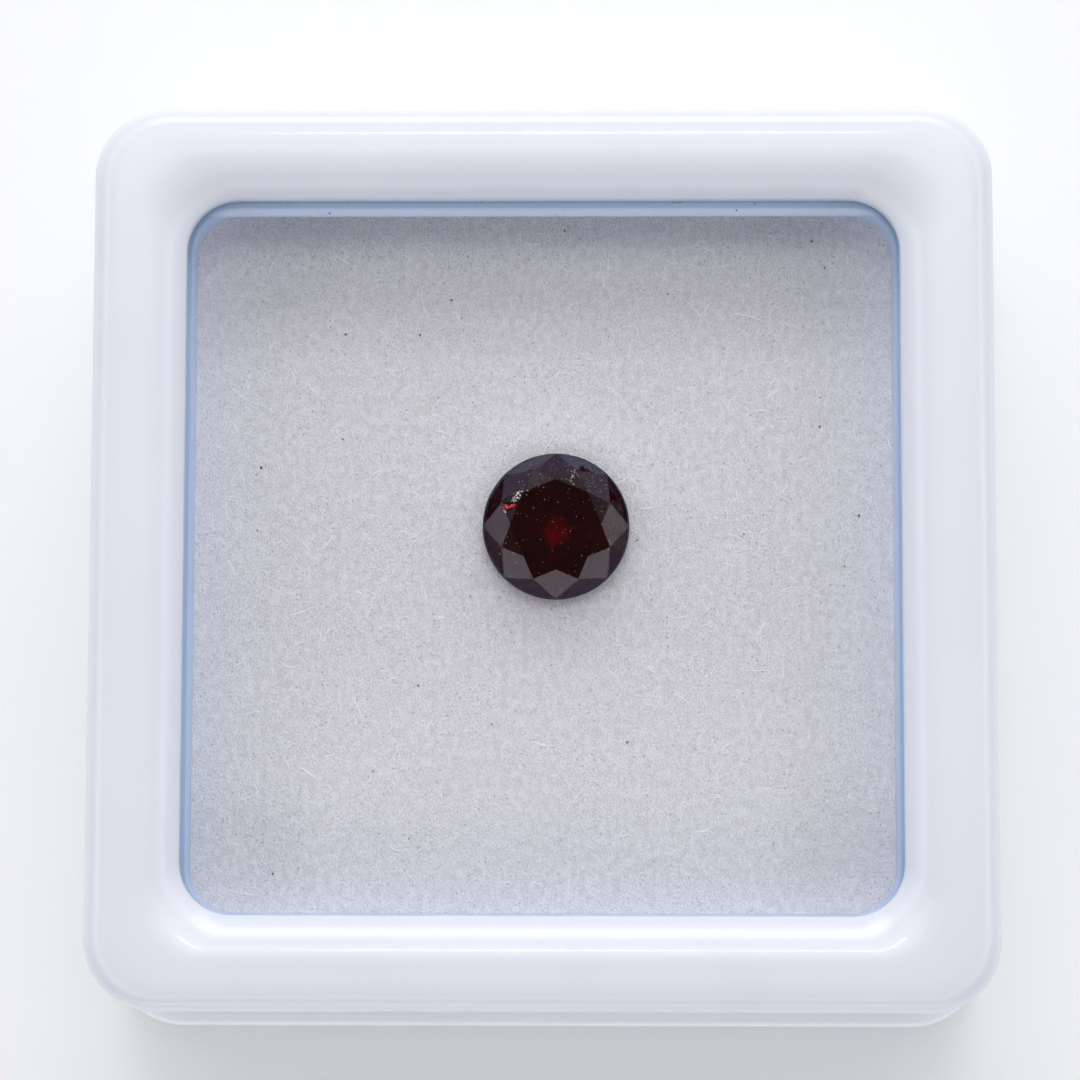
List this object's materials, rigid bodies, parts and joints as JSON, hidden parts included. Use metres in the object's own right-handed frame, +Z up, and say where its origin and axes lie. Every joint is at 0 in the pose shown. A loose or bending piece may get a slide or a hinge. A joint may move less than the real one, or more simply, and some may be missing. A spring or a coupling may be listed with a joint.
{
  "type": "loose round brilliant diamond in a gem box",
  "caption": "Dark red round brilliant-cut diamond, held table up between a pale felt pad and the clear window of a small white plastic gem box.",
  "frame": {"origin": "centre of the tray's underside, on the surface that the box rests on", "axes": "+Z is up, through the window; +Y is towards the picture's upper edge; +X is towards the picture's right edge"},
  "size_m": [0.03, 0.03, 0.015],
  "materials": {
    "diamond": "polished facets, transparent dark brownish red, with small pale inclusions",
    "felt": "matt pale grey felt face with short fibres",
    "white_plastic": "moulded, semi-gloss, slightly translucent bluish white",
    "clear_pane": "clear and polished"
  },
  "bodies": {
    "root": {"diamond": "diamond", "pad": "felt", "tray": "white_plastic", "lid": "white_plastic", "window_pane": "clear_pane"}
  },
  "joints": []
}
